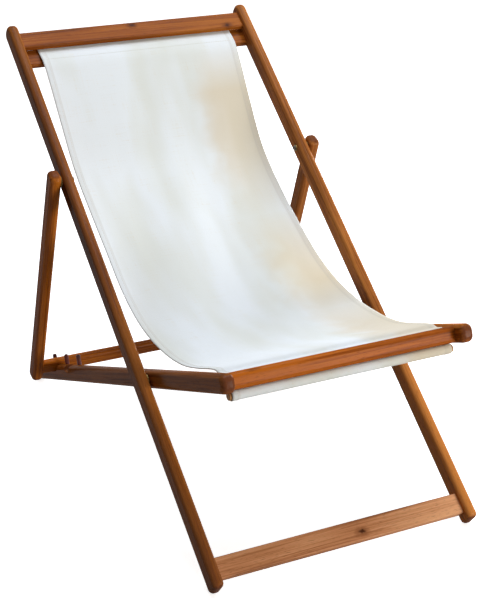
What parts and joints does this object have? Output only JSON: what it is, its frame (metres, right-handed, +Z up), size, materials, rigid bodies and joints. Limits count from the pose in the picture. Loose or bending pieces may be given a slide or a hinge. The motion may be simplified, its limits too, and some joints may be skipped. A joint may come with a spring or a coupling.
{
  "type": "folding canvas deck chair",
  "caption": "Folding deck chair: back frame, seat frame and strut frame of varnished boards with a hanging canvas sling and notched, pegged rails.",
  "frame": {"origin": "centre of the chair's bounding box in plan, on the floor that its feet stand on", "axes": "+X to the right as the chair is seen from the front, +Y to the rear, +Z up"},
  "size_m": [0.595, 0.9958, 0.8058],
  "materials": {
    "varnished_wood": "oiled and varnished hardwood, satin, with fine grain along each board",
    "dark_wood": "dark turned hardwood, satin",
    "pale_wood": "plain sanded dowel",
    "canvas": "woven cotton canvas, matt, undyed white",
    "brass": "plain brass, slightly dulled",
    "steel": "dark plated steel"
  },
  "bodies": {
    "back_frame": {"canvas_sling": "canvas", "foot_board": "varnished_wood", "left_back_leg": "varnished_wood", "left_seat_pivot_bolt": "steel", "left_seat_pivot_cup": "brass", "left_seat_pivot_insert": "brass", "left_seat_pivot_spacer": "brass", "left_strut_pivot_spacer": "brass", "right_back_leg": "varnished_wood", "right_seat_pivot_bolt": "steel", "right_seat_pivot_cup": "brass", "right_seat_pivot_insert": "brass", "right_seat_pivot_spacer": "brass", "right_strut_pivot_spacer": "brass", "top_front_slat": "varnished_wood", "top_rear_slat": "varnished_wood", "top_sling_dowel": "pale_wood"},
    "seat_frame": {"front_sling_dowel": "pale_wood", "left_front_peg": "dark_wood", "left_middle_peg": "dark_wood", "left_rear_peg": "dark_wood", "left_seat_rail": "varnished_wood", "right_front_peg": "dark_wood", "right_middle_peg": "dark_wood", "right_rear_peg": "dark_wood", "right_seat_rail": "varnished_wood", "seat_front_bar": "varnished_wood", "seat_rear_bar": "varnished_wood"},
    "strut_frame": {"left_strut": "varnished_wood", "left_strut_pivot_bolt": "steel", "left_strut_pivot_cup": "brass", "left_strut_pivot_insert": "brass", "prop_bar": "varnished_wood", "right_strut": "varnished_wood", "right_strut_pivot_bolt": "steel", "right_strut_pivot_cup": "brass", "right_strut_pivot_insert": "brass"}
  },
  "joints": [
    {"name": "seat_fold", "type": "hinge", "parent": "back_frame", "child": "seat_frame", "pos_m": [0, -0.169, 0.27065], "axis": [1, 0, 0], "range_deg": [0, 52], "deforming": ["canvas_sling"]},
    {"name": "strut_fold", "type": "hinge", "parent": "back_frame", "child": "strut_frame", "pos_m": [0, 0.18286, 0.55549], "axis": [1, 0, 0], "range_deg": [0, 112]}
  ],
  "couplings": [
    {"joint": "strut_fold", "follows": "seat_fold", "ratio": 2.15}
  ]
}
